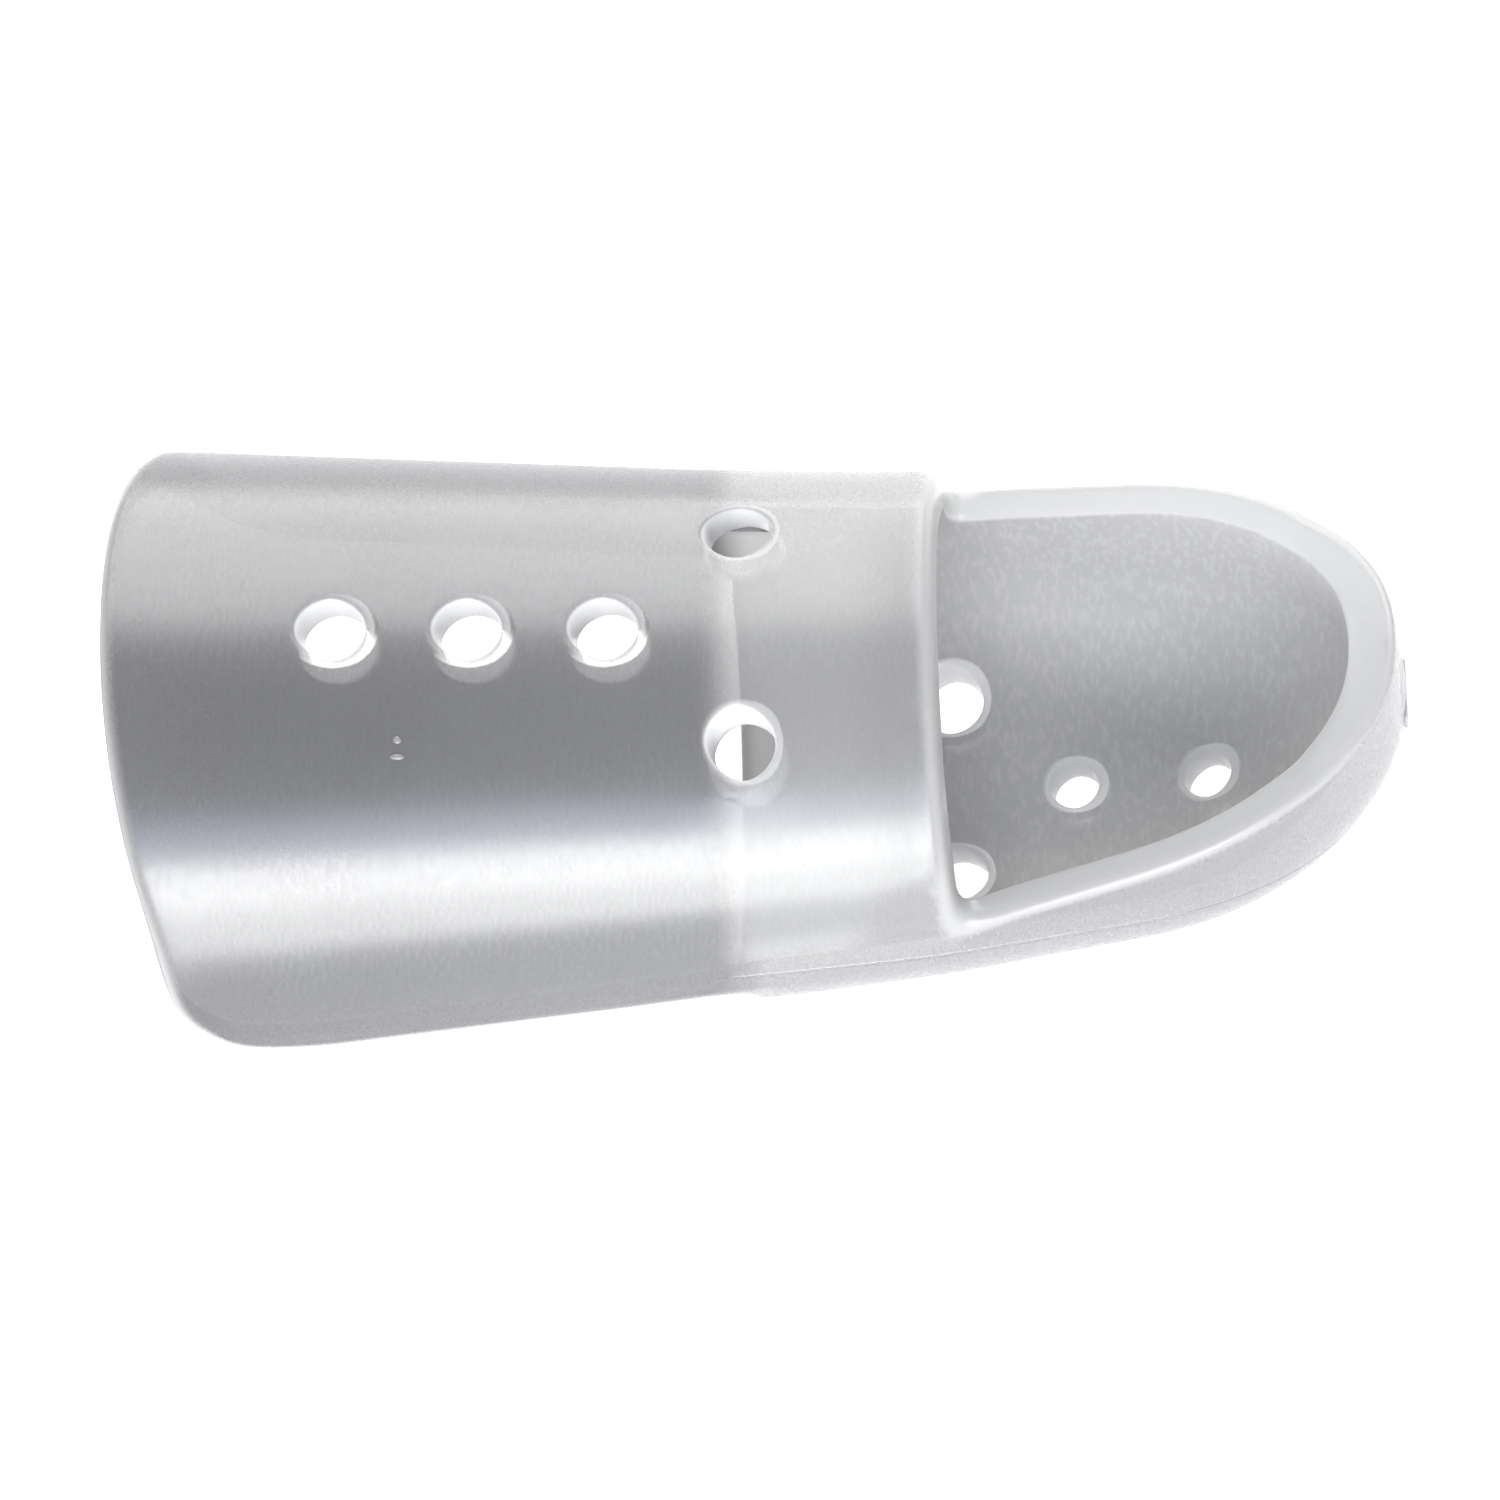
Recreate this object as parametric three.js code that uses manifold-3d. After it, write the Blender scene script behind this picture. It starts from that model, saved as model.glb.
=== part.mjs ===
// A mallet finger splint, moulded in one piece from clear plastic.
// Millimetres. The shell is drawn along +X, from its wrist end to the fingertip, with the back
// of the finger at +Z, and then pitched so that it lies on a table as it does by itself.

import * as THREE from 'three';
import { mergeVertices } from 'three/addons/utils/BufferGeometryUtils.js';
import Module from 'manifold-3d';

// Driving dimensions along the finger
const LENGTH = 62;
const RING_START = 28.7;
const BAND_END = 39.9;
const BEND = 38.4;
const TIP_START = 48.4;
const WALL = 1.8;
const TIP_WALL = 2.4;

// Outer skin: half width, height above the shoulder line and depth below the parting plane
const STATIONS = [
  { x: 0, halfWidth: 16.2, rise: 13.6, depth: 7.05 },
  { x: BEND, halfWidth: 12.8, rise: 9.5, depth: 9.05 },
  { x: TIP_START, halfWidth: 11.3, rise: 9, depth: 9.57 },
];

// Roundness of the outlines: 2 is an ellipse, more is squarer
const BACK_ROUNDNESS = 2.08;
const PALM_ROUNDNESS = 2.54;
const TIP_ROUNDNESS = 2.27;
const TIP_UNDERSIDE_ROUNDNESS = 1.75;

// Slopes of the shoulder line behind the ring, and of the tray's rim, which tips the finger up
const BACK_SLOPE = 0.045;
const RIM_SLOPE = 0.166;

// Edges in the side view, as heights over the parting plane and sizes of their corners
const FREE_EDGE = { wrist: -0.4, ring: -2.6 };
const RIM_RISE = 1.15;
const WRIST_CURVE = 1.8;
const WRIST_CORNER = 7;
const NOTCH_FILLET = 1.2;

// The underside: how deep it is flattened, and the shallow arch that leaves it standing on its ends
const UNDERSIDE = { flat: 0.15, arch: 0.05, lift: 0.05 };

// Air holes, all pulled from the mould in one direction
const PULL_SLOPE = 0.115;
const HOLE = 3.1;
const SMALL_HOLE = 2.35;
const AIR_HOLES = [
  { x: 11.15, y: 0, face: 'back', diameter: HOLE },
  { x: 17.65, y: 0, face: 'back', diameter: HOLE },
  { x: 24.15, y: 0, face: 'back', diameter: HOLE },
  { x: 30.55, y: 5.9, face: 'back', diameter: HOLE },
  { x: 30.55, y: -5.9, face: 'back', diameter: HOLE },
  { x: 39, y: 5, face: 'palm', diameter: HOLE },
  { x: 39, y: -5, face: 'palm', diameter: HOLE },
  { x: 45, y: 0, face: 'palm', diameter: SMALL_HOLE },
  { x: 51.6, y: 0, face: 'palm', diameter: SMALL_HOLE },
];

// Stub left at the fingertip where the plastic entered the mould
const GATE = { proud: 0.3, sunk: 0.8, width: 3.4, height: 1.2, drop: 1.2 };

// Fineness of the faceted skin
const SECTION_POINTS = 64;
const SHELL_STEPS = 14;
const TIP_STEPS = 12;
const TIP_CLOSED = 0.96;
const HOLE_SIDES = 32;

// Margin by which cutters run past the shell
const PAST = 3;

const wasm = await Module();
wasm.setup();

// Straight-line value of one column of the stations, carried on past both ends.
function along(column, x) {
  const next = x < BEND ? 1 : 2;
  const from = STATIONS[next - 1];
  const to = STATIONS[next];
  return THREE.MathUtils.mapLinear(x, from.x, to.x, from[column], to[column]);
}

// Height over the parting plane at which the walls stop being upright and lean in over the back.
function shoulder(x) {
  return BACK_SLOPE * Math.max(0, RING_START - x) + RIM_SLOPE * Math.max(0, x - BEND);
}

// Quarter of a superellipse: how far out the skin is at a share u of its reach.
function quarter(u, roundness) {
  const share = Math.min(Math.abs(u), 1);
  return (1 - share ** roundness) ** (1 / roundness);
}

// Half width, height and depth of a skin set inwards from the outer one.
function skinSize(x, inset, tipInset) {
  const u = Math.max(0, x - TIP_START) / (LENGTH - tipInset - TIP_START);
  return {
    halfWidth: (along('halfWidth', x) - inset) * quarter(u, TIP_ROUNDNESS),
    rise: (along('rise', x) - inset) * quarter(u, TIP_ROUNDNESS),
    depth: (along('depth', x) - inset) * quarter(u, TIP_UNDERSIDE_ROUNDNESS),
  };
}

// Height of the skin above or below a place in plan.
function skinHeight(x, y, face, inset) {
  const size = skinSize(x, inset, inset);
  const share = y / size.halfWidth;
  if (face === 'palm') return -size.depth * quarter(share, PALM_ROUNDNESS);
  return shoulder(x) + size.rise * quarter(share, BACK_ROUNDNESS);
}

// One closed section of a skin.
function section(x, inset, tipInset) {
  const size = skinSize(x, inset, tipInset);
  return Array.from({ length: SECTION_POINTS }, (_, i) => {
    const angle = (2 * Math.PI * i) / SECTION_POINTS;
    const side = Math.cos(angle);
    const up = Math.sin(angle);
    const power = 2 / (up > 0 ? BACK_ROUNDNESS : PALM_ROUNDNESS);
    const reach = Math.abs(up) ** power;
    const y = size.halfWidth * Math.sign(side) * Math.abs(side) ** power;
    const z = up > 0 ? shoulder(x) + size.rise * reach : -size.depth * reach;
    return new THREE.Vector3(x, y, z);
  });
}

// Where the sections of a skin stand: even along the shell, closer towards the fingertip.
function sectionPlaces(start, tipInset) {
  const reach = LENGTH - tipInset - TIP_START;
  const places = [];
  for (let i = 0; i < SHELL_STEPS; i += 1) {
    places.push(THREE.MathUtils.lerp(start, TIP_START, i / SHELL_STEPS));
  }
  for (let i = 0; i <= TIP_STEPS; i += 1) {
    const turn = (Math.PI / 2) * TIP_CLOSED * (i / TIP_STEPS);
    places.push(TIP_START + reach * Math.sin(turn));
  }
  return places;
}

// A closed skin of the finger space: sections joined by strips, with a flat at each end.
function fingerSkin(start, inset, tipInset) {
  const places = sectionPlaces(start, tipInset);
  const points = places.flatMap((x) => section(x, inset, tipInset));
  const end = places.at(-1);
  const startCentre = points.push(new THREE.Vector3(start, 0, shoulder(start))) - 1;
  const endCentre = points.push(new THREE.Vector3(end, 0, shoulder(end) / 2)) - 1;
  const faces = [];
  const last = (places.length - 1) * SECTION_POINTS;
  for (let i = 0; i < SECTION_POINTS; i += 1) {
    const j = (i + 1) % SECTION_POINTS;
    for (let ring = 0; ring < last; ring += SECTION_POINTS) {
      const ahead = ring + SECTION_POINTS;
      faces.push(ring + i, ahead + j, ahead + i, ring + i, ring + j, ahead + j);
    }
    faces.push(startCentre, j, i);
    faces.push(endCentre, last + i, last + j);
  }
  return new THREE.BufferGeometry().setFromPoints(points).setIndex(faces);
}

// A shape from corners in the side view, each rounded by its own amount.
function roundedShape(corners) {
  const shape = new THREE.Shape();
  corners.forEach(({ x, z, round }, i) => {
    const here = new THREE.Vector2(x, z);
    const towards = (other) => {
      const place = new THREE.Vector2(other.x, other.z);
      return place.sub(here).setLength(round).add(here);
    };
    const before = towards(corners.at(i - 1));
    const after = towards(corners[(i + 1) % corners.length]);
    if (i === 0) shape.moveTo(before.x, before.y);
    else shape.lineTo(before.x, before.y);
    if (round > 0) shape.quadraticCurveTo(x, z, after.x, after.y);
  });
  return shape;
}

// The side view, with the palm open behind the ring and the back open in front of it.
function sideView() {
  const top = shoulder(0) + STATIONS[0].rise;
  const sky = top + PAST;
  const beyond = LENGTH + PAST;
  const freeEdge = (x) => THREE.MathUtils.mapLinear(x, 0, RING_START, FREE_EDGE.wrist, FREE_EDGE.ring);
  const rim = (x) => RIM_RISE + RIM_SLOPE * (x - BEND);
  const underside = (x) => UNDERSIDE.flat - along('depth', x);
  const middle = (RING_START + TIP_START) / 2;
  const frontLift = UNDERSIDE.lift * (beyond - TIP_START);
  const corners = [
    { x: (-2 * WRIST_CURVE * PAST) / top, z: sky, round: 0 },
    { x: WRIST_CURVE, z: top / 2, round: top / 2 - WRIST_CORNER },
    { x: WRIST_CURVE, z: freeEdge(WRIST_CURVE), round: WRIST_CORNER },
    { x: RING_START, z: freeEdge(RING_START), round: NOTCH_FILLET },
    { x: RING_START, z: underside(RING_START), round: 0 },
    { x: middle, z: underside(middle) + UNDERSIDE.arch, round: 0 },
    { x: TIP_START, z: underside(TIP_START), round: 0 },
    { x: beyond, z: underside(beyond) + frontLift, round: 0 },
    { x: beyond, z: rim(beyond), round: 0 },
    { x: BAND_END, z: rim(BAND_END), round: NOTCH_FILLET },
    { x: BAND_END, z: sky, round: 0 },
  ];
  const breadth = STATIONS[0].halfWidth + PAST;
  const geometry = new THREE.ExtrudeGeometry(roundedShape(corners), {
    depth: 2 * breadth,
    bevelEnabled: false,
    curveSegments: 8,
  });
  return geometry.rotateX(Math.PI / 2).translate(0, breadth, 0);
}

// A pin through one wall where an air hole goes.
function holePin({ x, y, face, diameter }) {
  const radius = diameter / 2;
  const pin = new THREE.CylinderGeometry(radius, radius, 4 * WALL, HOLE_SIDES);
  pin.rotateX(Math.PI / 2).rotateY(-Math.atan(PULL_SLOPE));
  return pin.translate(x, y, skinHeight(x, y, face, WALL / 2));
}

// The gate stub, sunk into the wall at the fingertip, just below the parting plane.
function gateStub() {
  const length = GATE.proud + GATE.sunk;
  const stub = new THREE.BoxGeometry(length, GATE.width, GATE.height);
  return stub.translate(LENGTH + GATE.proud - length / 2, 0, -GATE.drop);
}

// A closed mesh as a solid that can be joined and cut.
function solid(geometry) {
  geometry.deleteAttribute('normal');
  geometry.deleteAttribute('uv');
  const merged = mergeVertices(geometry);
  return new wasm.Manifold(new wasm.Mesh({
    numProp: 3,
    vertProperties: new Float32Array(merged.getAttribute('position').array),
    triVerts: new Uint32Array(merged.getIndex().array),
  }));
}

// A solid back as a three.js geometry.
function geometryOf(body) {
  const { vertProperties, triVerts } = body.getMesh();
  const geometry = new THREE.BufferGeometry();
  geometry.setAttribute('position', new THREE.BufferAttribute(vertProperties, 3));
  geometry.setIndex(new THREE.BufferAttribute(triVerts, 1));
  geometry.computeVertexNormals();
  return geometry;
}

// The whole splint, along +X.
function splintShell() {
  const outer = solid(fingerSkin(-1, 0, 0));
  const space = solid(fingerSkin(-PAST, WALL, TIP_WALL));
  let shell = outer.subtract(space).intersect(solid(sideView()));
  for (const hole of AIR_HOLES) {
    shell = shell.subtract(solid(holePin(hole)));
  }
  return geometryOf(shell.add(solid(gateStub())));
}

const shell = new THREE.Mesh(
  splintShell(),
  new THREE.MeshStandardMaterial({ color: 0xd9dcde, roughness: 0.35, metalness: 0 }),
);
shell.name = 'splint_shell';

// The pitch lays the flat under the tray on the table, with the wrist end held clear of it.
const undersideSlope = along('depth', TIP_START) - along('depth', BEND);
shell.rotation.y = -Math.atan2(undersideSlope, TIP_START - BEND);
shell.updateMatrix();

// The middle of the splint's box goes over the origin, with its lowest point on the table.
const box = new THREE.Box3().setFromObject(shell, true);
const centre = box.getCenter(new THREE.Vector3());
shell.position.set(-centre.x, -centre.y, -box.min.z);

const splint = new THREE.Group();
splint.add(shell);

export default splint;
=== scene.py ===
# %% [markdown]
# # A finger splint in clear plastic
# The real thing is moulded in one shot from a milky, see-through plastic. It holds the last joint
# of a finger straight: a half shell lies over the back of the finger, a ring goes right round it,
# and a tray carries the fingertip. The CAD part already has its true size. This lesson makes the
# same skin smooth, rounds every edge as the mould does, and gives it the look of the plastic.

# %% open the frame
import math

import bmesh
import bpy
import numpy as np
from mathutils import Matrix, Vector


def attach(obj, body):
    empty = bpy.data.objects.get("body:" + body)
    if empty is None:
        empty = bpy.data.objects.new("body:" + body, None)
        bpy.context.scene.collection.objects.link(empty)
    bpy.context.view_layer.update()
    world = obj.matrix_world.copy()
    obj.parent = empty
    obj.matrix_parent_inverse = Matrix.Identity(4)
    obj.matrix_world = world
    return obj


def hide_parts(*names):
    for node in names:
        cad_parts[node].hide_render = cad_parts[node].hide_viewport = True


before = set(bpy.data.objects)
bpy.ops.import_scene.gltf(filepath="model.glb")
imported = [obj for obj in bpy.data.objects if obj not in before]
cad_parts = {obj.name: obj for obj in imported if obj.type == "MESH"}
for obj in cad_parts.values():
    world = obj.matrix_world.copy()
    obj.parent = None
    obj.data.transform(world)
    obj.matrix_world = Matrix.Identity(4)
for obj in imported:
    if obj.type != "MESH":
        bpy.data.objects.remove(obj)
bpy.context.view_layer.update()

# %% [markdown]
# ## The shape of the finger
# Everything follows a finger that lies along X, with its back towards +Z. Three stations give the
# half width, the height of the back and the depth of the palm side, and straight lines join them.
# Each section is a superellipse: an ellipse at a roundness of 2, a squarer shape above that. The
# values are the ones that the CAD part was drawn with, in millimetres.

# %% driving values
LENGTH, RING_START, BAND_END = 62.0, 28.7, 39.9
BEND, TIP_START = 38.4, 48.4
WALL, TIP_WALL = 1.8, 2.4
STATIONS = ((0.0, 16.2, 13.6, 7.05), (BEND, 12.8, 9.5, 9.05), (TIP_START, 11.3, 9.0, 9.57))
HALF_WIDTH, RISE, DEPTH = 1, 2, 3
BACK_ROUNDNESS, PALM_ROUNDNESS = 2.08, 2.54
TIP_ROUNDNESS, TIP_UNDERSIDE_ROUNDNESS = 2.27, 1.75
BACK_SLOPE, RIM_SLOPE = 0.045, 0.166
FREE_EDGE_WRIST, FREE_EDGE_RING = -0.4, -2.6
RIM_RISE, UNDERSIDE_FLAT = 1.15, 0.2
WRIST_CURVE, WRIST_CORNER = 1.8, 7.0
print("the splint is", LENGTH, "mm long with a wall of", WALL, "mm")


# %% sizes along the finger
def along(column, x):
    """One column of the stations at x, on straight lines carried past both ends."""
    start, end = STATIONS[:2] if x < BEND else STATIONS[1:]
    return start[column] + (end[column] - start[column]) * (x - start[0]) / (end[0] - start[0])


def shoulder(x):
    """Height at which the walls stop being upright and lean in over the back."""
    return BACK_SLOPE * max(0, RING_START - x) + RIM_SLOPE * max(0, x - BEND)


def quarter(share, roundness):
    """A quarter of a superellipse: how far out it is at a share of its reach."""
    return (1 - min(abs(share), 1) ** roundness) ** (1 / roundness)


def tip_reach(inset):
    """Length of the rounded fingertip of a skin that is set inwards."""
    return LENGTH - TIP_START - inset * TIP_WALL / WALL


def skin_size(x, inset):
    """Half width, height and depth of a skin that is set inwards from the outer one."""
    u = max(0, x - TIP_START) / tip_reach(inset)
    half_width = (along(HALF_WIDTH, x) - inset) * quarter(u, TIP_ROUNDNESS)
    rise = (along(RISE, x) - inset) * quarter(u, TIP_ROUNDNESS)
    depth = (along(DEPTH, x) - inset) * quarter(u, TIP_UNDERSIDE_ROUNDNESS)
    return half_width, rise, depth


print("the ring is", round(2 * skin_size(RING_START, 0)[0], 1), "mm wide where it starts")


# %% heights of the skin
def back_height(x, y, inset):
    half_width, rise, _ = skin_size(x, inset)
    return shoulder(x) + rise * quarter(y / half_width, BACK_ROUNDNESS)


def palm_height(x, y, inset):
    """Height of the palm side, 0 at the very tip, with the outer skin flat where it lies down."""
    half_width, _, depth = skin_size(x, inset)
    if half_width == 0:
        return 0.0
    z = -depth * quarter(y / half_width, PALM_ROUNDNESS)
    return z if inset else max(z, UNDERSIDE_FLAT - along(DEPTH, x))


def free_edge(x):
    """Height of the edge that runs along the finger from the wrist end to the ring."""
    share = min(x, RING_START) / RING_START
    return FREE_EDGE_WRIST + (FREE_EDGE_RING - FREE_EDGE_WRIST) * share


def rim(x):
    """Height of the tray's rim, which climbs towards the fingertip."""
    return RIM_RISE + RIM_SLOPE * (max(x, BAND_END) - BEND)


print("the rim climbs from", round(rim(BAND_END), 1), "to", round(rim(LENGTH), 1), "mm")

# %% the way round a section
SECTION_STEPS = 160


def half_section(x, inset):
    """One side of a section from the palm to the back: y, z and the way walked along it."""
    half_width, rise, depth = skin_size(x, inset)
    turn = np.linspace(0, math.pi / 2, SECTION_STEPS)
    palm, back = 2 / PALM_ROUNDNESS, 2 / BACK_ROUNDNESS
    y = np.concatenate((half_width * np.sin(turn) ** palm, half_width * np.cos(turn) ** back))
    z = np.concatenate((-depth * np.cos(turn) ** palm, shoulder(x) + rise * np.sin(turn) ** back))
    way = np.concatenate(((0,), np.cumsum(np.hypot(np.diff(y), np.diff(z)))))
    return y, z, way


print("half way round the ring it is", round(float(half_section(RING_START, 0)[2][-1]), 1), "mm")

# %% [markdown]
# ## A plain tube, cut open
# A moulded shell with openings is easiest to start as a plain round tube of quads. Its rows stand
# across the finger and its columns run along it, counted from the middle of the palm. Two stretches
# are cut away: the palm behind the ring, and the back in front of it. What is left is the half
# shell, the ring and the tray as one sheet.

# %% the tube
SIDES, TUBE_RADIUS, ROW_STEP = 28, 13.4, 3.0
FREE, PARTING, RIM, TOP = 6, 7, 8, 14
RING_ROW, BAND_ROW, TIP_ROW, LAST_ROW = 8, 12, 15, 23
COLUMN_TURN = 2 * math.pi / SIDES

shell = bmesh.new()
tube_length = LAST_ROW * ROW_STEP
lay_along_x = Matrix.Rotation(math.pi / 2, 4, "Y")
bmesh.ops.create_cone(
    shell, segments=SIDES, radius1=TUBE_RADIUS, radius2=TUBE_RADIUS, depth=tube_length,
    matrix=Matrix.Translation((tube_length / 2, 0, 0)) @ lay_along_x)
lengthwise = [e for e in shell.edges if abs(e.verts[0].co.x - e.verts[1].co.x) > ROW_STEP]
bmesh.ops.subdivide_edges(shell, edges=lengthwise, cuts=LAST_ROW - 1, use_grid_fill=True)
print("the tube has", len(shell.faces), "faces")


# %% the two openings
def tube_place(co):
    """Row and column of a place on the tube."""
    return round(co.x / ROW_STEP, 3), round(math.atan2(co.y, -co.z) / COLUMN_TURN, 3)


cut_away = []
for face in shell.faces:
    row, column = tube_place(face.calc_center_median())
    open_palm = row < RING_ROW and abs(column) < FREE
    open_back = row > BAND_ROW and abs(column) > RIM
    if open_palm or open_back:
        cut_away.append(face)
bmesh.ops.delete(shell, geom=cut_away, context="FACES")
print("cut away", len(cut_away), "faces and left", len(shell.faces))

# %% [markdown]
# ## Air holes
# The splint is worn for weeks, so small holes let the skin breathe. A boolean cut would leave ragged
# quads round each one. Instead each is marked where four quads meet: dissolving that corner leaves one
# face with eight sides, and two insets inside it give the start of the hole's rounded lip and the edge
# of the bore. The insets only make the points, whose places come later, as do the bores themselves.

# %% where the holes are
HOLE, SMALL_HOLE = 3.1, 2.35
AIR_HOLES = (
    dict(row=3, column=TOP, x=11.15, y=0.0, height=back_height, diameter=HOLE),
    dict(row=5, column=TOP, x=17.65, y=0.0, height=back_height, diameter=HOLE),
    dict(row=7, column=TOP, x=24.15, y=0.0, height=back_height, diameter=HOLE),
    dict(row=9, column=12, x=30.55, y=5.9, height=back_height, diameter=HOLE),
    dict(row=9, column=-12, x=30.55, y=-5.9, height=back_height, diameter=HOLE),
    dict(row=12, column=2, x=39.0, y=5.0, height=palm_height, diameter=HOLE),
    dict(row=12, column=-2, x=39.0, y=-5.0, height=palm_height, diameter=HOLE),
    dict(row=14, column=0, x=45.0, y=0.0, height=palm_height, diameter=SMALL_HOLE),
    dict(row=16, column=0, x=51.6, y=0.0, height=palm_height, diameter=SMALL_HOLE),
)
print(len(AIR_HOLES), "holes,", sum(h["height"] is back_height for h in AIR_HOLES), "of them on the back")

# %% mark the holes
LIP, BORE = 1, 2
MARK_INSET = 0.9
hole_layer = shell.verts.layers.int.new("hole")
ring_layer = shell.verts.layers.int.new("ring")


def on_tube(row, column):
    turn = column * COLUMN_TURN
    return Vector((row * ROW_STEP, TUBE_RADIUS * math.sin(turn), -TUBE_RADIUS * math.cos(turn)))


for number, hole in enumerate(AIR_HOLES, start=1):
    place = on_tube(hole["row"], hole["column"])
    middle = min(shell.verts, key=lambda v: (v.co - place).length)
    neighbour = middle.link_edges[0].other_vert(middle)
    bmesh.ops.dissolve_verts(shell, verts=[middle])
    cap = max(neighbour.link_faces, key=lambda f: len(f.verts))
    for ring in (LIP, BORE):
        bmesh.ops.inset_individual(shell, faces=[cap], thickness=MARK_INSET)
        for vert in cap.verts:
            vert[hole_layer], vert[ring_layer] = number, ring
print("marked points:", sum(v[hole_layer] > 0 for v in shell.verts))

# %% [markdown]
# ## Two skins
# A moulded wall has an outer and an inner skin. A Solidify modifier would give the same wall all over,
# but this one is thicker at the tip, and its rim slopes. Extruding the whole sheet while keeping the
# faces it came from makes the second skin and the walls along every cut edge in one step. A layer on
# the points remembers which skin each belongs to.

# %% give the sheet a second skin
OUTER, INNER = 0, 1
skin_layer = shell.verts.layers.int.new("skin")
extruded = bmesh.ops.extrude_face_region(shell, geom=shell.faces[:], use_keep_orig=True)["geom"]
for vert in extruded:
    if isinstance(vert, bmesh.types.BMVert):
        vert[skin_layer] = INNER
print("two skins and their edges:", len(shell.faces), "faces")

# %% [markdown]
# ## Rows and columns on the finger
# Now every point gets a place on the finger from its row and column on the tube. It could be sculpted
# by eye, but a formula puts the skin where the CAD part has it. Rows have their own place on the back
# and on the palm, so that hole centres fall on crossings. Columns share out the way round the section.
# One column stays outside the tray's pair of holes, and the one at the parting plane dips beside the
# ring, so that loops added later along lips and edges don't cross them. The smoothing that comes last
# moves cut edges a little, so their rows and the rim start with an allowance for that.

# %% rows
EDGE_ALLOWANCE = 0.2
RIM_ALLOWANCE, RIM_SLANT = -0.25, 0.4
SHELL_ROWS = (-EDGE_ALLOWANCE, 3.95, 7.9, 11.15, 14.4, 17.65, 20.9, 24.15)
BACK_ROWS = SHELL_ROWS + (27.4, 30.55, 33.7, 36.8, BAND_END)
PALM_ROWS = SHELL_ROWS + (RING_START - EDGE_ALLOWANCE, 31.2, 33.7, 36.2, 39.0, 42.0, 45.0, TIP_START)


def rim_height(x, inset):
    """Height of the tray's rim on one skin: its top slopes down to the inner one."""
    return rim(x) + RIM_ALLOWANCE - RIM_SLANT * inset / WALL


print(len(BACK_ROWS), "rows on the back and", len(PALM_ROWS), "on the palm, up to the fingertip")

# %% columns
OUTSIDE_PAIR, PAIR_REACH = 3, 7.6
PARTING_DIP = 0.9


def column_ways(x, inset, row):
    """Way along the section at which each column stands."""
    y, z, way = half_section(x, inset)
    top = way[-1]
    pair = way[np.searchsorted(y[:SECTION_STEPS], PAIR_REACH)]
    dip = PARTING_DIP * np.interp(x, (BAND_END, TIP_START), (1, 0))
    free, parting, edge = np.interp((free_edge(x), -dip, rim_height(x, inset)), z, way)
    if row < RING_ROW:
        share = row / RING_ROW
        even = (top - free) / (TOP - FREE)
        parting = share * parting + (1 - share) * (free + even)
        edge = share * edge + (1 - share) * (free + 2 * even)
    marks = (0, OUTSIDE_PAIR, FREE, PARTING, RIM, TOP)
    return np.interp(range(TOP + 1), marks, (0, pair, free, parting, edge, top))


ring_ways = column_ways(RING_START, 0, RING_ROW)
print("the rim's column starts", round(float(ring_ways[RIM]), 1), "mm from the middle of the palm")


# %% [markdown]
# ## The fingertip
# If all columns ran to one pole at the tip, their quads would be pinched to slivers there. So the
# square of rows and columns is rounded into a half disc. One usual way does that with ellipses and
# another with even turns. Each squeezes the quads somewhere, and the mean of both keeps them open.

# %% places on the fingertip
def tip_place(row, column, inset):
    """A place on the rounded fingertip, from the square of its rows and columns."""
    forward = (row - TIP_ROW) / (LAST_ROW - TIP_ROW)
    sideways = column / RIM
    ahead = forward * math.sqrt(1 - sideways * sideways / 2)
    aside = sideways * math.sqrt(1 - forward * forward / 2)
    if sideways > forward:
        even_turn = math.pi / 4 * forward / sideways
    else:
        even_turn = math.pi / 4 * (2 - sideways / forward)
    turn = (math.atan2(ahead, aside) + even_turn) / 2
    step = (math.hypot(ahead, aside) + max(forward, sideways)) / 2 * RIM
    y, z, way = half_section(TIP_START, inset)
    walked = np.interp(step, range(TOP + 1), column_ways(TIP_START, inset, row))
    out = np.interp(walked, way, y) / skin_size(TIP_START, inset)[0]
    up = np.interp(walked, way, z) / rim_height(TIP_START, inset)
    x = TIP_START + tip_reach(inset) * out * math.sin(turn) ** (2 / TIP_ROUNDNESS)
    y = (along(HALF_WIDTH, x) - inset) * out * max(0, math.cos(turn)) ** (2 / TIP_ROUNDNESS)
    return x, y, up * rim_height(x, inset) if up > 0 else palm_height(x, y, inset)


print("the foremost point is at", [round(float(c), 1) for c in tip_place(LAST_ROW, 0, 0)])

# %% [markdown]
# ## The wrist end
# The end of the half shell is bowed, and its lower corners are rounded so that they don't dig in. Both
# are easiest to draw in the side view: a shift along the finger that grows downwards, and a curve that
# leads from the end into the free edge. The shift fades out over the first rows.

# %% places at the wrist end
WRIST_FADE = 2.5
ON_CORNER = {FREE: 0.5, PARTING: 0.25}


def wrist_place(x, z, row, column):
    """Bends the wrist end's edge and rounds its lower corner, in the side view."""
    top = shoulder(0) + along(RISE, 0)
    x += WRIST_CURVE * min(1, 2 * (1 - z / top)) * (1 - row / WRIST_FADE)
    start = WRIST_CURVE - EDGE_ALLOWANCE
    t = math.sqrt(min(1, max(0, x - start) / WRIST_CORNER))
    at_corner = row == 0 and column in ON_CORNER
    if at_corner:
        t = ON_CORNER[column]
        x = start + WRIST_CORNER * t * t
    if at_corner or column == FREE:
        z = free_edge(x) + WRIST_CORNER * (1 - t) ** 2
    return x, z


print("the wrist end is bowed by", WRIST_CURVE, "mm and its corners rounded over", WRIST_CORNER, "mm")


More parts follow.
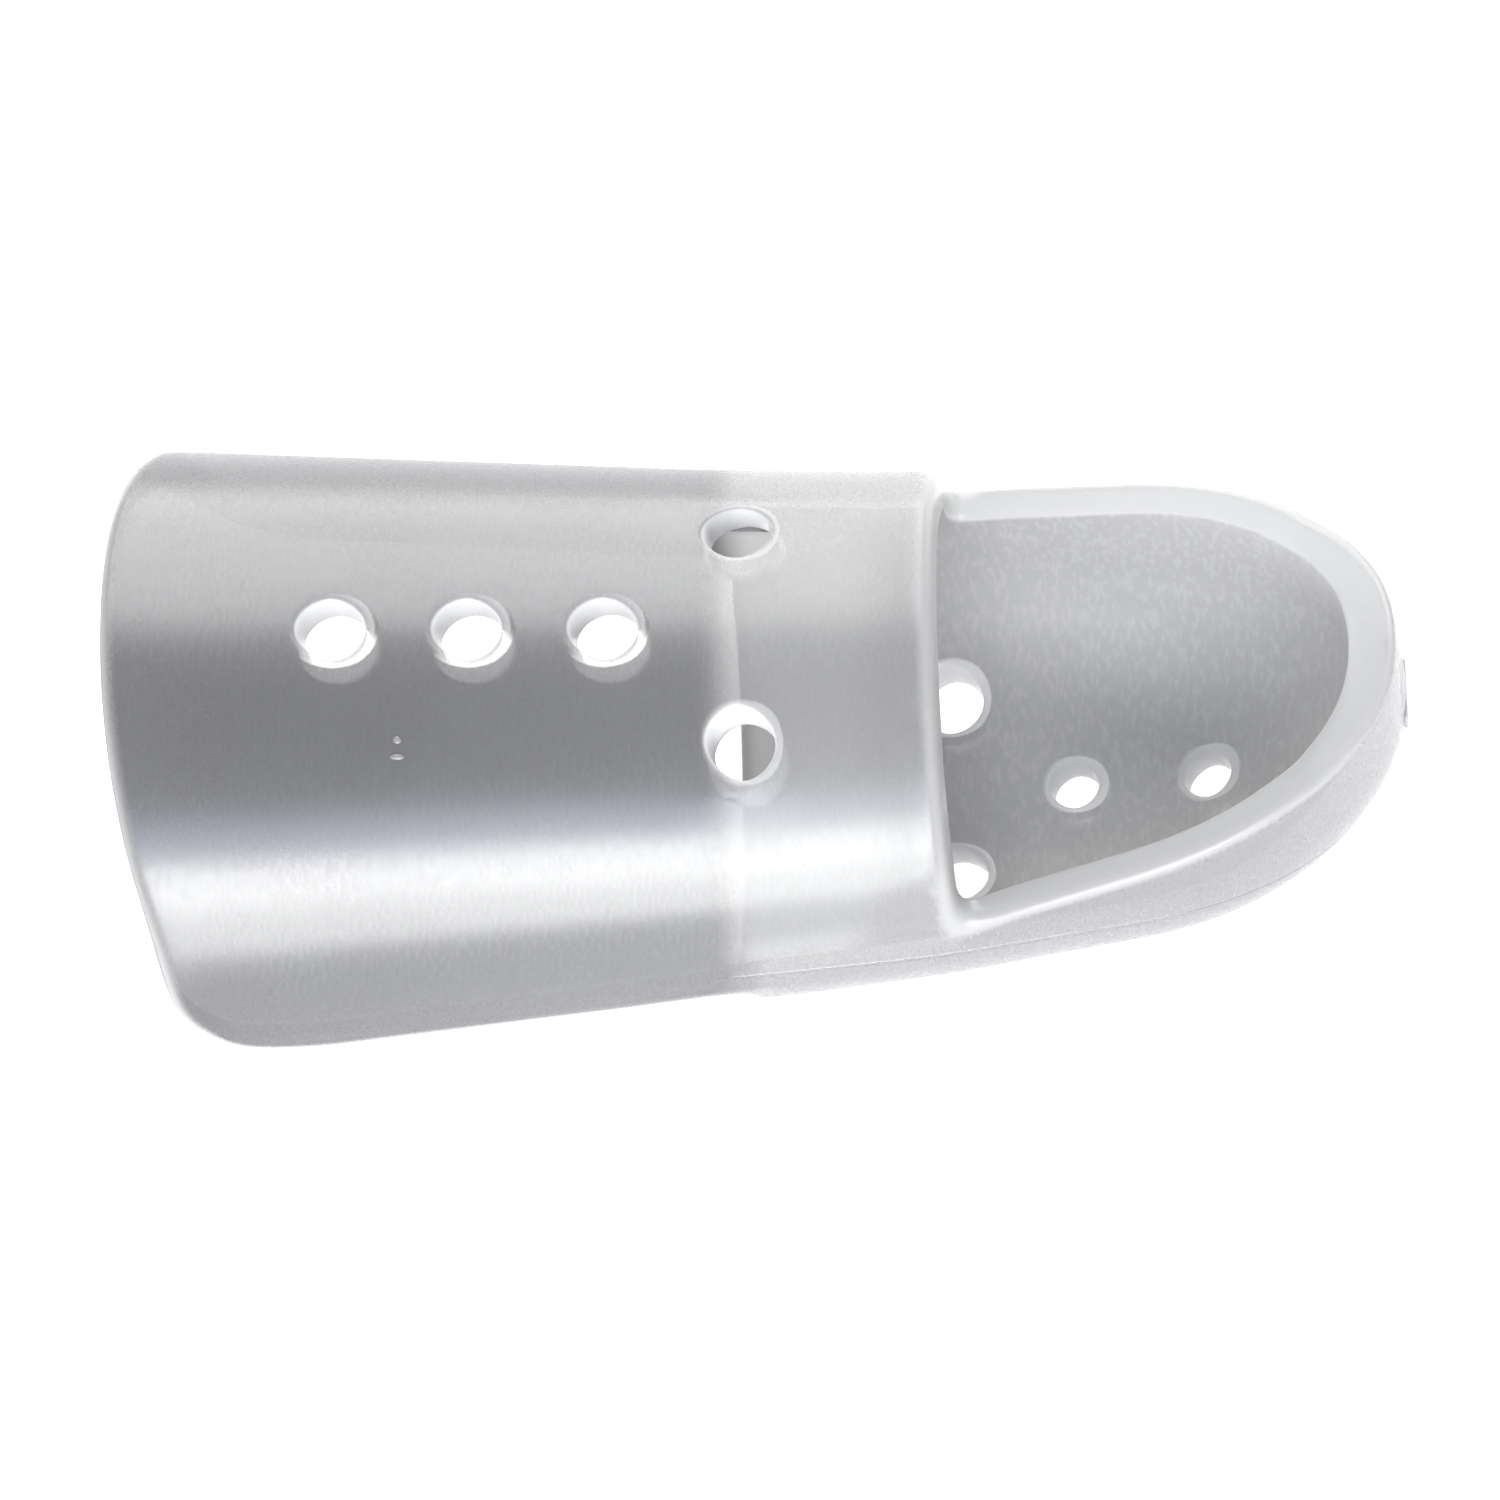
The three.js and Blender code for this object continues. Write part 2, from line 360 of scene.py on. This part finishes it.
# %% any place on the finger
def finger_place(row, column, inset):
    """A place on the finger, from a row and a column on one side of the tube."""
    if row > TIP_ROW:
        return tip_place(row, column, inset)
    back = np.interp(row, range(len(BACK_ROWS)), BACK_ROWS)
    palm = np.interp(row, range(len(PALM_ROWS)), PALM_ROWS)
    towards_back = np.interp(column, (FREE, RIM), (0, 1)) if row <= BAND_ROW else 0
    x = palm + (back - palm) * towards_back
    y, z, way = half_section(x, inset)
    walked = column_ways(x, inset, row)[int(column)]
    y, z = np.interp(walked, way, y), np.interp(walked, way, z)
    if row < WRIST_FADE:
        x, z = wrist_place(x, z, row, column)
        half_y, half_z, _ = half_section(x, inset)
        z = half_z[-1] if column == TOP else z
        y = np.interp(z, half_z, half_y)
    if column < FREE and not inset:
        z = max(z, UNDERSIDE_FLAT - along(DEPTH, x))
    return x, y, z


print("the ring's top is at", [round(float(c), 1) for c in finger_place(RING_ROW, TOP, 0)])

# %% [markdown]
# ## Round holes
# Pins in the mould make the holes, so each is round in plan and leans along the way its pin pulls out.
# Eight corners are enough for a hole, because the smoothing rounds them. It also draws them in to about
# nine tenths of their radius, so they start that much further out.

# %% places round a hole
PULL_SLOPE = 0.115
LIP_WIDTH = 0.3
OCTAGON_DRAW = 0.902


def hole_place(vert, inset):
    """A corner of a hole's lip or bore, which leans along the way the mould's pins pull out."""
    hole = AIR_HOLES[vert[hole_layer] - 1]
    away = vert.co - on_tube(hole["row"], hole["column"])
    turn = round(math.atan2(away.y, away.x) * 4 / math.pi) * math.pi / 4
    radius = hole["diameter"] / 2 + (LIP_WIDTH if vert[ring_layer] == LIP else 0)
    x = hole["x"] + radius / OCTAGON_DRAW * math.cos(turn)
    y = hole["y"] + radius / OCTAGON_DRAW * math.sin(turn)
    height = hole["height"]
    x -= PULL_SLOPE * (height(hole["x"], hole["y"], inset) - height(hole["x"], hole["y"], WALL / 2))
    return x, y, height(x, y, inset)


print("the pins lean by", round(math.degrees(math.atan(PULL_SLOPE)), 1), "degrees")

# %% press the tube into shape
for vert in shell.verts:
    inset = WALL * vert[skin_layer]
    if vert[hole_layer]:
        vert.co = hole_place(vert, inset)
    else:
        row, column = tube_place(vert.co)
        x, y, z = finger_place(row, abs(column), inset)
        vert.co = (x, math.copysign(y, column), z)
bmesh.ops.recalc_face_normals(shell, faces=shell.faces[:])
print("the pressed plastic takes", round(shell.calc_volume()), "cubic mm")

# %% [markdown]
# ## Round the edges and open the bores
# On the real splint no edge is sharp: each is a full round from one skin to the other. An inset along
# the border of both skins puts a loop of points beside every edge, and the smoothing then turns the
# three loops into a round nose. The bores open by taking out both caps and bridging their edges.

# %% loops beside the edges
NOSE = {OUTER: 1.0, INNER: 0.35}
for skin, width in NOSE.items():
    faces = [f for f in shell.faces if all(v[skin_layer] == skin for v in f.verts)]
    bmesh.ops.inset_region(shell, faces=faces, thickness=width, use_boundary=True, use_even_offset=True)
print("with loops beside the edges:", len(shell.faces), "faces")

# %% open the bores
HOLE_CORNERS = 8
for number in range(1, len(AIR_HOLES) + 1):
    round_hole = [f for f in shell.faces if all(v[hole_layer] == number for v in f.verts)]
    caps = [f for f in round_hole if len(f.verts) == HOLE_CORNERS]
    cap_edges = [e for f in caps for e in f.edges]
    bmesh.ops.delete(shell, geom=caps, context="FACES_ONLY")
    bmesh.ops.bridge_loops(shell, edges=cap_edges)
bmesh.ops.recalc_face_normals(shell, faces=shell.faces[:])
print("open edges:", sum(not e.is_manifold for e in shell.edges), "faces:", len(shell.faces))

# %% [markdown]
# ## Notes for the plastic
# The plastic will look different on the inside, along the edges and round the holes. Those places are
# known here, while the points still have their skins and holes, so each point gets four numbers that
# the finish reads later. They say how far inside it is, how near an edge, how many millimetres off the
# nearest hole, and, round the three middle holes, how far it turns to the side where the lip is clear.

# %% layers for the notes
EDGE_FADE, HOLE_REACH = 0.3, 4.0
CLEAR_TURN = math.radians(-65)
inside_layer = shell.verts.layers.float.new("inside")
edge_layer = shell.verts.layers.float.new("edge")
gap_layer = shell.verts.layers.float.new("gap")
lip_layer = shell.verts.layers.float.new("lip")


def hole_gap(hole, co):
    """Gap in plan between a place and a hole's bore."""
    return math.hypot(co.x - hole["x"], co.y - hole["y"]) - hole["diameter"] / 2


shell.verts.index_update()
on_skin = [all(len({v[skin_layer] for v in f.verts}) == 1 for f in vert.link_faces) for vert in shell.verts]
print("points on the skins:", sum(on_skin), "and along the edges:", len(on_skin) - sum(on_skin))

# %% write the notes on the points
for vert in shell.verts:
    beside_edge = not all(on_skin[e.other_vert(vert).index] for e in vert.link_edges)
    on_nose = beside_edge and vert[skin_layer] == OUTER and not vert[hole_layer]
    vert[inside_layer] = vert[skin_layer]
    vert[edge_layer] = (EDGE_FADE * on_nose) if on_skin[vert.index] else 1
    upper = vert.co.z > 0
    same_side = [h for h in AIR_HOLES if (h["height"] is back_height) == upper]
    nearest = min(same_side, key=lambda h: hole_gap(h, vert.co))
    turn = math.atan2(vert.co.y - nearest["y"], vert.co.x - nearest["x"])
    vert[gap_layer] = min(HOLE_REACH, hole_gap(nearest, vert.co))
    vert[lip_layer] = (nearest["column"] == TOP) * max(0, math.cos(turn - CLEAR_TURN))
print("points near a hole:", sum(v[gap_layer] < HOLE_REACH for v in shell.verts))

# %% [markdown]
# ## Lay it on the table
# The splint lies on the flat under its ring and tray, which tips the wrist end off the table. The
# pitch is the slope of that flat, and the shift puts it over the origin as in the CAD part. The place
# goes into the mesh, so that the object itself stays at the origin.

# %% from the finger to the row frame
MM = 0.001
pitch = math.atan2(along(DEPTH, TIP_START) - along(DEPTH, BEND), TIP_START - BEND)
SHIFT = Vector((-30.768, 0.003, 6.894)) * MM
to_row = Matrix.Translation(SHIFT) @ Matrix.Rotation(-pitch, 4, "Y") @ Matrix.Scale(MM, 4)
bmesh.ops.transform(shell, matrix=to_row, verts=shell.verts[:])
print("pitched by", round(math.degrees(pitch), 2), "degrees")


# %% make it an object
def make_object(name, bm):
    """Turns a bmesh into a smooth object at the origin."""
    mesh = bpy.data.meshes.new(name)
    bm.to_mesh(mesh)
    mesh.shade_smooth()
    piece = bpy.data.objects.new(name, mesh)
    bpy.context.scene.collection.objects.link(piece)
    return piece


splint = make_object("splint", shell)
shell.free()
smooth = splint.modifiers.new("smooth", "SUBSURF")
smooth.levels = smooth.render_levels = 2
print("the splint has", len(splint.data.vertices), "points before smoothing")

# %% [markdown]
# ## Keep the smooth skin where it was measured
# Smoothing pulls a curved skin in towards its middle. The points on the skins are pushed out by as
# much as they were pulled in, a few times over, so that the smooth skin passes through their places.
# The points along the edges are left alone, because there the pull makes the round nose.

# %% push the skins out
PUSHES = 4
places = [v.co.copy() for v in splint.data.vertices]
for _ in range(PUSHES):
    evaluated = splint.evaluated_get(bpy.context.evaluated_depsgraph_get())
    drawn = evaluated.to_mesh()
    pulls = [place - drawn.vertices[i].co for i, place in enumerate(places)]
    evaluated.to_mesh_clear()
    for vert, pull, is_skin in zip(splint.data.vertices, pulls, on_skin):
        if is_skin:
            vert.co += pull
    splint.data.update()
print("largest pull left", round(max(p.length for p, s in zip(pulls, on_skin) if s) / MM, 3), "mm")

# %% [markdown]
# ## The gate stub
# Melted plastic enters the mould at the fingertip, and a small stub stays where it was snipped off.
# It could be pulled out of the wall, but a cube with rounded edges, set in the wall just below the
# parting plane where the tip curves away, is all it takes.


# %% the stub
def mark_as_edge(bm, share):
    """Gives every point a share of what the rounded edges have, and puts it far from any hole."""
    for name, value in (("edge", share), ("gap", HOLE_REACH)):
        layer = bm.verts.layers.float.new(name)
        for vert in bm.verts:
            vert[layer] = value


GATE = dict(length=0.3, width=3.4, height=1.2, drop=1.2, rounding=0.15)
stub_bm = bmesh.new()
bmesh.ops.create_cube(stub_bm, size=1)
bmesh.ops.scale(stub_bm, vec=(GATE["length"], GATE["width"], GATE["height"]), verts=stub_bm.verts[:])
bmesh.ops.bevel(
    stub_bm, geom=stub_bm.edges[:], offset=GATE["rounding"], segments=3, profile=0.5,
    affect="EDGES", material=-1)
stub_place = Matrix.Translation((LENGTH - GATE["length"] / 2, 0, -GATE["drop"]))
bmesh.ops.transform(stub_bm, matrix=to_row @ stub_place, verts=stub_bm.verts[:])
mark_as_edge(stub_bm, 1)
stub = make_object("gate_stub", stub_bm)
stub_bm.free()
print("the stub is", GATE["width"], "mm wide and", GATE["height"], "mm high")

# %% [markdown]
# ## Moulded dots
# The mould leaves two tiny raised dots on the near flank, a round one and a flat one. A bump could
# hint at them, but they catch the light from the side, so they are real shapes: a sphere sunk to its
# middle in the skin makes each.

# %% the dots
DOTS = (
    dict(x=14.09, y=-5.77, size=(0.4, 0.4, 0.2)),
    dict(x=14.04, y=-6.56, size=(0.7, 0.3, 0.2)),
)
DOT_MILK = 0.52
PROBE = 0.1


def on_back_skin(x, y):
    return Vector((x, y, back_height(x, y, 0)))


dots_bm = bmesh.new()
for dot in DOTS:
    x, y = dot["x"], dot["y"]
    here = on_back_skin(x, y)
    ahead = (on_back_skin(x + PROBE, y) - here).normalized()
    aside = (on_back_skin(x, y + PROBE) - here).normalized()
    axes = Matrix((ahead, aside, ahead.cross(aside))).transposed().to_4x4()
    flat = Matrix.Diagonal(Vector(dot["size"]) / 2).to_4x4()
    place = to_row @ Matrix.Translation(here) @ axes @ flat
    bmesh.ops.create_icosphere(dots_bm, subdivisions=3, radius=1, matrix=place)
mark_as_edge(dots_bm, DOT_MILK)
dots = make_object("moulded_dots", dots_bm)
dots_bm.free()
print("two dots of", DOTS[0]["size"][0], "and", DOTS[1]["size"][0], "mm")

# %% [markdown]
# ## The plastic
# The plastic is clear but milky: light comes through a wall blurred, and the deeper one looks into the
# plastic, the whiter it is. Glass with a cloudy volume inside could show that, but it is slow and noisy
# on a thin wall. So the skins are made partly see-through by their alpha, a satin outer one and a duller
# inner one, and a milkier plastic takes over along the edges and in the bores. A small class lets the
# shader maths be written as sums.


# %% a socket with arithmetic
class Value:
    """A shader socket that can be added, multiplied and fed to nodes."""

    def __init__(self, tree, socket):
        self.tree, self.socket = tree, socket

    def node(self, kind, settings=None, output=0, **inputs):
        made = self.tree.nodes.new(kind)
        for name, setting in (settings or {}).items():
            setattr(made, name, setting)
        for name, value in inputs.items():
            key = int(name[1:]) if name[1:].isdigit() else name.replace("_", " ")
            if isinstance(value, Value):
                self.tree.links.new(value.socket, made.inputs[key])
            else:
                made.inputs[key].default_value = value
        return Value(self.tree, made.outputs[output])

    def maths(self, operation, first, second):
        return self.node("ShaderNodeMath", dict(operation=operation), i0=first, i1=second)

    def __add__(self, other):
        return self.maths("ADD", self, other)

    def __radd__(self, other):
        return self.maths("ADD", other, self)

    def __sub__(self, other):
        return self.maths("SUBTRACT", self, other)

    def __rsub__(self, other):
        return self.maths("SUBTRACT", other, self)

    def __mul__(self, other):
        return self.maths("MULTIPLY", self, other)

    def __rmul__(self, other):
        return self.maths("MULTIPLY", other, self)


# %% an empty material and two helpers
plastic = bpy.data.materials.new("clear_plastic")
plastic.use_nodes = True
tree = plastic.node_tree
tree.nodes.remove(tree.nodes["Principled BSDF"])
coords = Value(tree, tree.nodes.new("ShaderNodeTexCoord").outputs["Object"])


def step_at(value, place, width):
    """Goes from 0 to 1 as a value passes a place."""
    return coords.node(
        "ShaderNodeMapRange", dict(interpolation_type="SMOOTHSTEP"),
        Value=value, From_Min=place - width / 2, From_Max=place + width / 2)


def mix_colours(share, first, second):
    return coords.node("ShaderNodeMix", dict(data_type="RGBA"), output=2, i0=share, i6=first, i7=second)


print("the new material starts with", len(tree.nodes), "nodes")

# %% [markdown]
# ## Where the look changes
# Two kinds of values steer the finish. The notes on the points say how far inside a place is, or how
# near to an edge or a hole. The object's own coordinates, in metres, say whether it is on the half
# shell, on the ring or on the tray. Each border between them is a soft step.

# %% read the notes and the place
inside, edge, gap, lip = (
    coords.node("ShaderNodeAttribute", dict(attribute_name=note), output=2)
    for note in ("inside", "edge", "gap", "lip"))
x_place, y_place, z_place = (
    coords.node("ShaderNodeSeparateXYZ", output=axis, Vector=coords) for axis in range(3))
print("the finish reads four notes and three coordinates")

# %% half shell, ring and tray
ring_corner = to_row @ Vector((RING_START, 0, 0))
band_x = (to_row @ Vector((BAND_END, 0, 0))).x
tip_x = (to_row @ Vector((TIP_START, 0, 0))).x
on_ring = step_at(x_place, ring_corner.x, 2.5 * MM)
on_back = step_at(z_place, ring_corner.z, 2 * MM) * (1 - step_at(x_place, band_x, 0.8 * MM))
# The lining inside the ring is marked for painted light, a paler tint that lifts its shade.
in_ring_painted_light = 1 - step_at(x_place, band_x - 5 * MM, 3 * MM)
to_ring = step_at(x_place, ring_corner.x - 10 * MM, 30 * MM)
to_tip = step_at(x_place, tip_x, 20 * MM)
# Painted shade and light on the tray's rim change along Y: greyer towards -Y, paler towards +Y.
to_painted_light_side = step_at(y_place, 3 * MM, 16 * MM)
print("the ring goes from", round(ring_corner.x / MM, 1), "to", round(band_x / MM, 1), "mm")

# %% [markdown]
# ## Clouds, flecks and tints
# The flow of the melt leaves soft clouds in the plastic, and the mould prints fine flecks on its skin,
# longer across the finger than along it. Two noise textures make them. The tints follow the photograph:
# the thin half shell is the darkest, and the lining of the tray gets paler towards the tip. The ring
# carries painted light: its back is paler, in place of light that comes through its two walls, and its
# lining is paler still, lifting the shade inside it. They are mixed in steps, from the half shell to
# the ring, and there from the palm to the back.

# %% clouds and flecks
ACROSS = (2.5, 1, 1)
CLOUD_SCALE, FLECK_SCALE = 140, 1500
cloud = coords.node("ShaderNodeTexNoise", Vector=coords, Scale=CLOUD_SCALE, Detail=3)
narrow = coords.node("ShaderNodeMapping", Vector=coords, Scale=ACROSS)
fleck = coords.node("ShaderNodeTexNoise", Vector=narrow, Scale=FLECK_SCALE, Detail=3)
fleck_spots = step_at(fleck, 0.56, 0.24)
print("flecks are", ACROSS[0], "times as long across the finger")

# %% tints of the two skins
SHELL_CLEAR, SHELL_MILKY = (0.08, 0.081, 0.084, 1), (0.115, 0.116, 0.119, 1)
TRAY_CLEAR, TRAY_MILKY = (0.28, 0.281, 0.283, 1), (0.5, 0.501, 0.503, 1)
# The ring's lining and back tints are painted light: paler tints in place of the shade inside the ring and
# the light through its walls.
RING_LINING_PAINTED_LIGHT, RING_BACK_PAINTED_LIGHT = (0.85, 0.85, 0.85, 1), (0.245, 0.245, 0.245, 1)
PALM_OUTSIDE = (0.18, 0.181, 0.183, 1)
shell_tint = mix_colours(0.5 * cloud + 0.7 * to_ring, SHELL_CLEAR, SHELL_MILKY)
tray_tint = mix_colours(fleck_spots * 0.22 + to_tip * 0.5, TRAY_CLEAR, TRAY_MILKY)
# Painted light: inside the ring the lining turns much paler, lifting its shade.
lining_tint_and_painted_light = mix_colours(in_ring_painted_light, tray_tint, RING_LINING_PAINTED_LIGHT)
palm_tint = mix_colours(inside, PALM_OUTSIDE, lining_tint_and_painted_light)
# Painted light: the ring's back is paler than the half shell, in place of light through its two walls.
back_tint_and_painted_light = mix_colours(on_ring, shell_tint, RING_BACK_PAINTED_LIGHT)
ring_tint = mix_colours(on_back, palm_tint, back_tint_and_painted_light)
tint = mix_colours(on_ring, shell_tint, ring_tint)
print("the skins' tints go from", SHELL_CLEAR[0], "to", RING_LINING_PAINTED_LIGHT[0])

# %% [markdown]
# ## The parting line
# The halves of the mould meet in one plane, and leave a hair line round the ring and the tray. It is
# too fine for the mesh, so a bump draws it, on top of the faint bump of the flecks.

# %% the line and the flecks as bumps
LINE = 0.12 * MM
parting_level = ring_corner.z * math.cos(pitch) + ring_corner.x * math.sin(pitch)
over_parting = z_place * math.cos(pitch) + x_place * math.sin(pitch) - parting_level
line = on_ring * step_at(over_parting, -LINE, LINE) * (1 - step_at(over_parting, LINE, LINE))
bump = coords.node("ShaderNodeBump", Strength=0.1, Distance=0.02 * MM, Height=fleck)
ridge = coords.node("ShaderNodeBump", Strength=1.0, Distance=0.1 * MM, Height=line, Normal=bump)
print("the parting line is", round(2 * LINE / MM, 2), "mm wide")

# %% [markdown]
# ## The two skins
# Both skins are one plastic. The mould's outer half is polished, so the outside has a satin gloss, and
# the inside is duller. The alpha is the share of light that the haze stops, the least on the ring's
# back. At the lips of the three middle holes the wall turns clear on one side, and lets the table show.

# %% satin outside, dull inside
PLASTIC_IOR = 1.49
SATIN, DULL, FLECK_ROUGHNESS = 0.2, 0.5, 0.14
HAZE, CLOUD_HAZE, RING_CLEARER, BACK_CLEARER = 0.82, 0.05, 0.12, 0.1
CLEAR_LIP, LIP_FADE, LIP_CLEARNESS = 0.75, 0.2, 0.9
haze = HAZE + CLOUD_HAZE * cloud - RING_CLEARER * on_ring - BACK_CLEARER * (on_ring * on_back)
clear = step_at(lip, 0.25, 0.4) * (1 - step_at(gap, CLEAR_LIP, LIP_FADE))
outer = coords.node(
    "ShaderNodeBsdfPrincipled", IOR=PLASTIC_IOR, Specular_IOR_Level=0.8, Base_Color=tint,
    Roughness=SATIN + FLECK_ROUGHNESS * fleck, Alpha=haze * (1 - LIP_CLEARNESS * clear), Normal=ridge)
inner = coords.node(
    "ShaderNodeBsdfPrincipled", IOR=PLASTIC_IOR, Base_Color=tint,
    Roughness=DULL + FLECK_ROUGHNESS * fleck, Alpha=haze, Normal=bump)
skins = coords.node("ShaderNodeMixShader", i0=inside, i1=outer, i2=inner)
print("two skins with an index of", PLASTIC_IOR)

# %% [markdown]
# ## Milky edges
# Along a rim or in a bore one looks into the depth of the wall, so the plastic is whiter there. The
# bores and lips also carry painted light, a whiter tint that lifts the shade they sit in. The edges of
# the half shell carry painted shade, a grey outline in place of the dark line that light bent at an
# edge draws. The tray's rim carries painted shade towards -Y, where it is greyer, and painted light
# towards +Y, where it is paler as if lit from behind through the wall. A Mix Shader lays the milky
# plastic over the skins, and the notes make its factor.

# %% the milky plastic
# The near rim tint is painted shade and the far rim tint painted light.
NEAR_RIM_PAINTED_SHADE, FAR_RIM_PAINTED_LIGHT = (0.42, 0.42, 0.42, 1), (0.54, 0.54, 0.535, 1)
# Painted shade for the half shell's edges, and painted light for the bores and lips.
SHELL_EDGE_PAINTED_SHADE, BORE_PAINTED_LIGHT = (0.22, 0.22, 0.23, 1), (0.72, 0.72, 0.72, 1)
MILKY_LIP, INNER_CLEARNESS = 0.5, 0.85
EDGE_MILK, BORE_MILK, LINING_MILK = 0.92, 0.35, 0.45
# Painted shade: a grey outline along the half shell's edges, in place of a dark refraction line.
painted_edge_shade = step_at(edge, 0.82, 0.2) * (1 - on_ring)
at_hole = 1 - step_at(gap, MILKY_LIP, LIP_FADE)
clear_inside = clear * step_at(inside, 0.25, 0.2)
# Painted shade and light: the rim is greyer towards -Y and paler towards +Y.
rim_painted_shade_and_light = mix_colours(to_painted_light_side, NEAR_RIM_PAINTED_SHADE, FAR_RIM_PAINTED_LIGHT)
# The painted shade outline is laid over the rim's painted shade and light.
edge_painted_shade_and_light = mix_colours(painted_edge_shade, rim_painted_shade_and_light, SHELL_EDGE_PAINTED_SHADE)
# Painted light: bores and lips get a whiter tint that lifts the shade they sit in.
milk_painted_light_and_shade = mix_colours(at_hole, edge_painted_shade_and_light, BORE_PAINTED_LIGHT)
milk = coords.node(
    "ShaderNodeBsdfPrincipled", IOR=PLASTIC_IOR, Specular_IOR_Level=0.1, Roughness=0.18,
    Transmission_Weight=0.3, Base_Color=milk_painted_light_and_shade, Alpha=1 - INNER_CLEARNESS * clear_inside)
milky_edge = step_at(edge, 0.5, 0.4) * EDGE_MILK
milky_hole = at_hole * (BORE_MILK + LINING_MILK * inside)
milky = coords.maths("MAXIMUM", milky_edge, milky_hole)
whole = coords.node("ShaderNodeMixShader", i0=milky, i1=skins, i2=milk)
tree.links.new(whole.socket, tree.nodes["Material Output"].inputs["Surface"])
print("the plastic takes", len(tree.nodes), "nodes")

# %% put it on the pieces
for piece in (splint, stub, dots):
    piece.data.materials.append(plastic)
    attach(piece, "root")
    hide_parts("splint_shell")
    print(piece.name, "is in clear plastic")

# %% [markdown]
# ## The table
# The splint lies on a plain white ground without a horizon. A white plane is enough. It is given a
# little light of its own, because the clear plastic shows whatever is under it, and a table lit by the
# softboxes alone would come out grey.

# %% a plain table
TABLE_GLOW = 0.6
floor_bm = bmesh.new()
bmesh.ops.create_grid(floor_bm, x_segments=1, y_segments=1, size=1.5)
floor = make_object("table", floor_bm)
floor_bm.free()
pale = bpy.data.materials.new("table_top")
pale.use_nodes = True
pale_shader = pale.node_tree.nodes["Principled BSDF"]
pale_shader.inputs["Base Color"].default_value = (0.9, 0.9, 0.9, 1)
pale_shader.inputs["Roughness"].default_value = 0.8
pale_shader.inputs["Emission Color"].default_value = (1, 1, 1, 1)
pale_shader.inputs["Emission Strength"].default_value = TABLE_GLOW
floor.data.materials.append(pale)
print("the table is", [round(d, 1) for d in floor.dimensions[:2]], "m")

# %% [markdown]
# ## Light
# Satin plastic is shown by what it mirrors, so softboxes are better than a sun. Two stand in front, one
# above the other, and draw the bright band along the near flank. A weak bluish one above them cools the
# band's upper edge. A large one behind lights the far flank, and a small one shines on the wrist end.
# No softbox hangs overhead, which leaves the top of the shell grey.


# %% softboxes
def softbox(name, place, width, height, power, colour=(1, 1, 1)):
    """A soft rectangular light that faces the splint."""
    light = bpy.data.lights.new(name, "AREA")
    light.color = colour
    light.shape, light.size, light.size_y, light.energy = "RECTANGLE", width, height, power
    lamp = bpy.data.objects.new(name, light)
    lamp.location = place
    lamp.rotation_euler = (-Vector(place)).to_track_quat("-Z", "Y").to_euler()
    bpy.context.scene.collection.objects.link(lamp)
    print("softbox", name, "of", power, "W")


softbox("front", (0.05, -0.5, 0.34), 0.3, 0.2, 3.2)
softbox("front_low", (0.05, -0.6, 0.14), 0.3, 0.26, 2.8)
softbox("front_high", (0.05, -0.4, 0.5), 0.3, 0.2, 0.9, (0.7, 0.76, 1))
softbox("behind", (0.05, 0.6, 0.36), 0.4, 0.78, 6.6)
softbox("left", (-0.6, 0, 0.2), 0.3, 0.3, 1.2)

# %% the air round it
STUDIO_LIGHT = 0.5
world = bpy.data.worlds.new("studio")
bpy.context.scene.world = world
world.use_nodes = True
background = world.node_tree.nodes["Background"]
background.inputs["Color"].default_value = (0.98, 0.99, 1, 1)
background.inputs["Strength"].default_value = STUDIO_LIGHT
bpy.context.scene.view_settings.view_transform = "Standard"
print("the air shines with", STUDIO_LIGHT)

# %% [markdown]
# ## The camera
# The camera looks down at about sixty degrees through a long lens, as for the photograph. Its angles
# were fitted to the outline and the hole centres there, in the finger's own frame, so it takes the same
# step to the row frame as the splint. It could be aimed with a constraint, but a plain matrix is exact.

# %% where the camera looks from
AZIMUTH, ELEVATION, ROLL = (math.radians(a) for a in (6.228, 59.841, -4.562))
DISTANCE, LENS, SENSOR = 652.05, 319.0, 36.0
AIM = Vector((31, 0, 0))
OFF_CENTRE = (1.254, 0.932)
lean = math.pi / 2 - ELEVATION
back = Vector((math.sin(AZIMUTH), -math.sin(lean) * math.cos(AZIMUTH), math.cos(lean) * math.cos(AZIMUTH)))
level = (Vector((1, 0, 0)) - back * back.x).normalized()
raised = back.cross(level)
right = level * math.cos(ROLL) + raised * math.sin(ROLL)
up = raised * math.cos(ROLL) - level * math.sin(ROLL)
stand = AIM - right * OFF_CENTRE[0] - up * OFF_CENTRE[1] + back * DISTANCE
turned = Matrix((right, up, back)).transposed().to_4x4()
print("the camera stands", round(DISTANCE), "mm away")

# %% set it up
lens = bpy.data.cameras.new("camera")
lens.lens, lens.sensor_width = LENS, SENSOR
lens.clip_start, lens.clip_end = 0.05, 10
camera = bpy.data.objects.new("camera", lens)
camera.matrix_world = Matrix.Translation(to_row @ stand) @ Matrix.Rotation(-pitch, 4, "Y") @ turned
bpy.context.scene.collection.objects.link(camera)
bpy.context.scene.camera = camera
print("camera at", [round(c, 3) for c in camera.location])
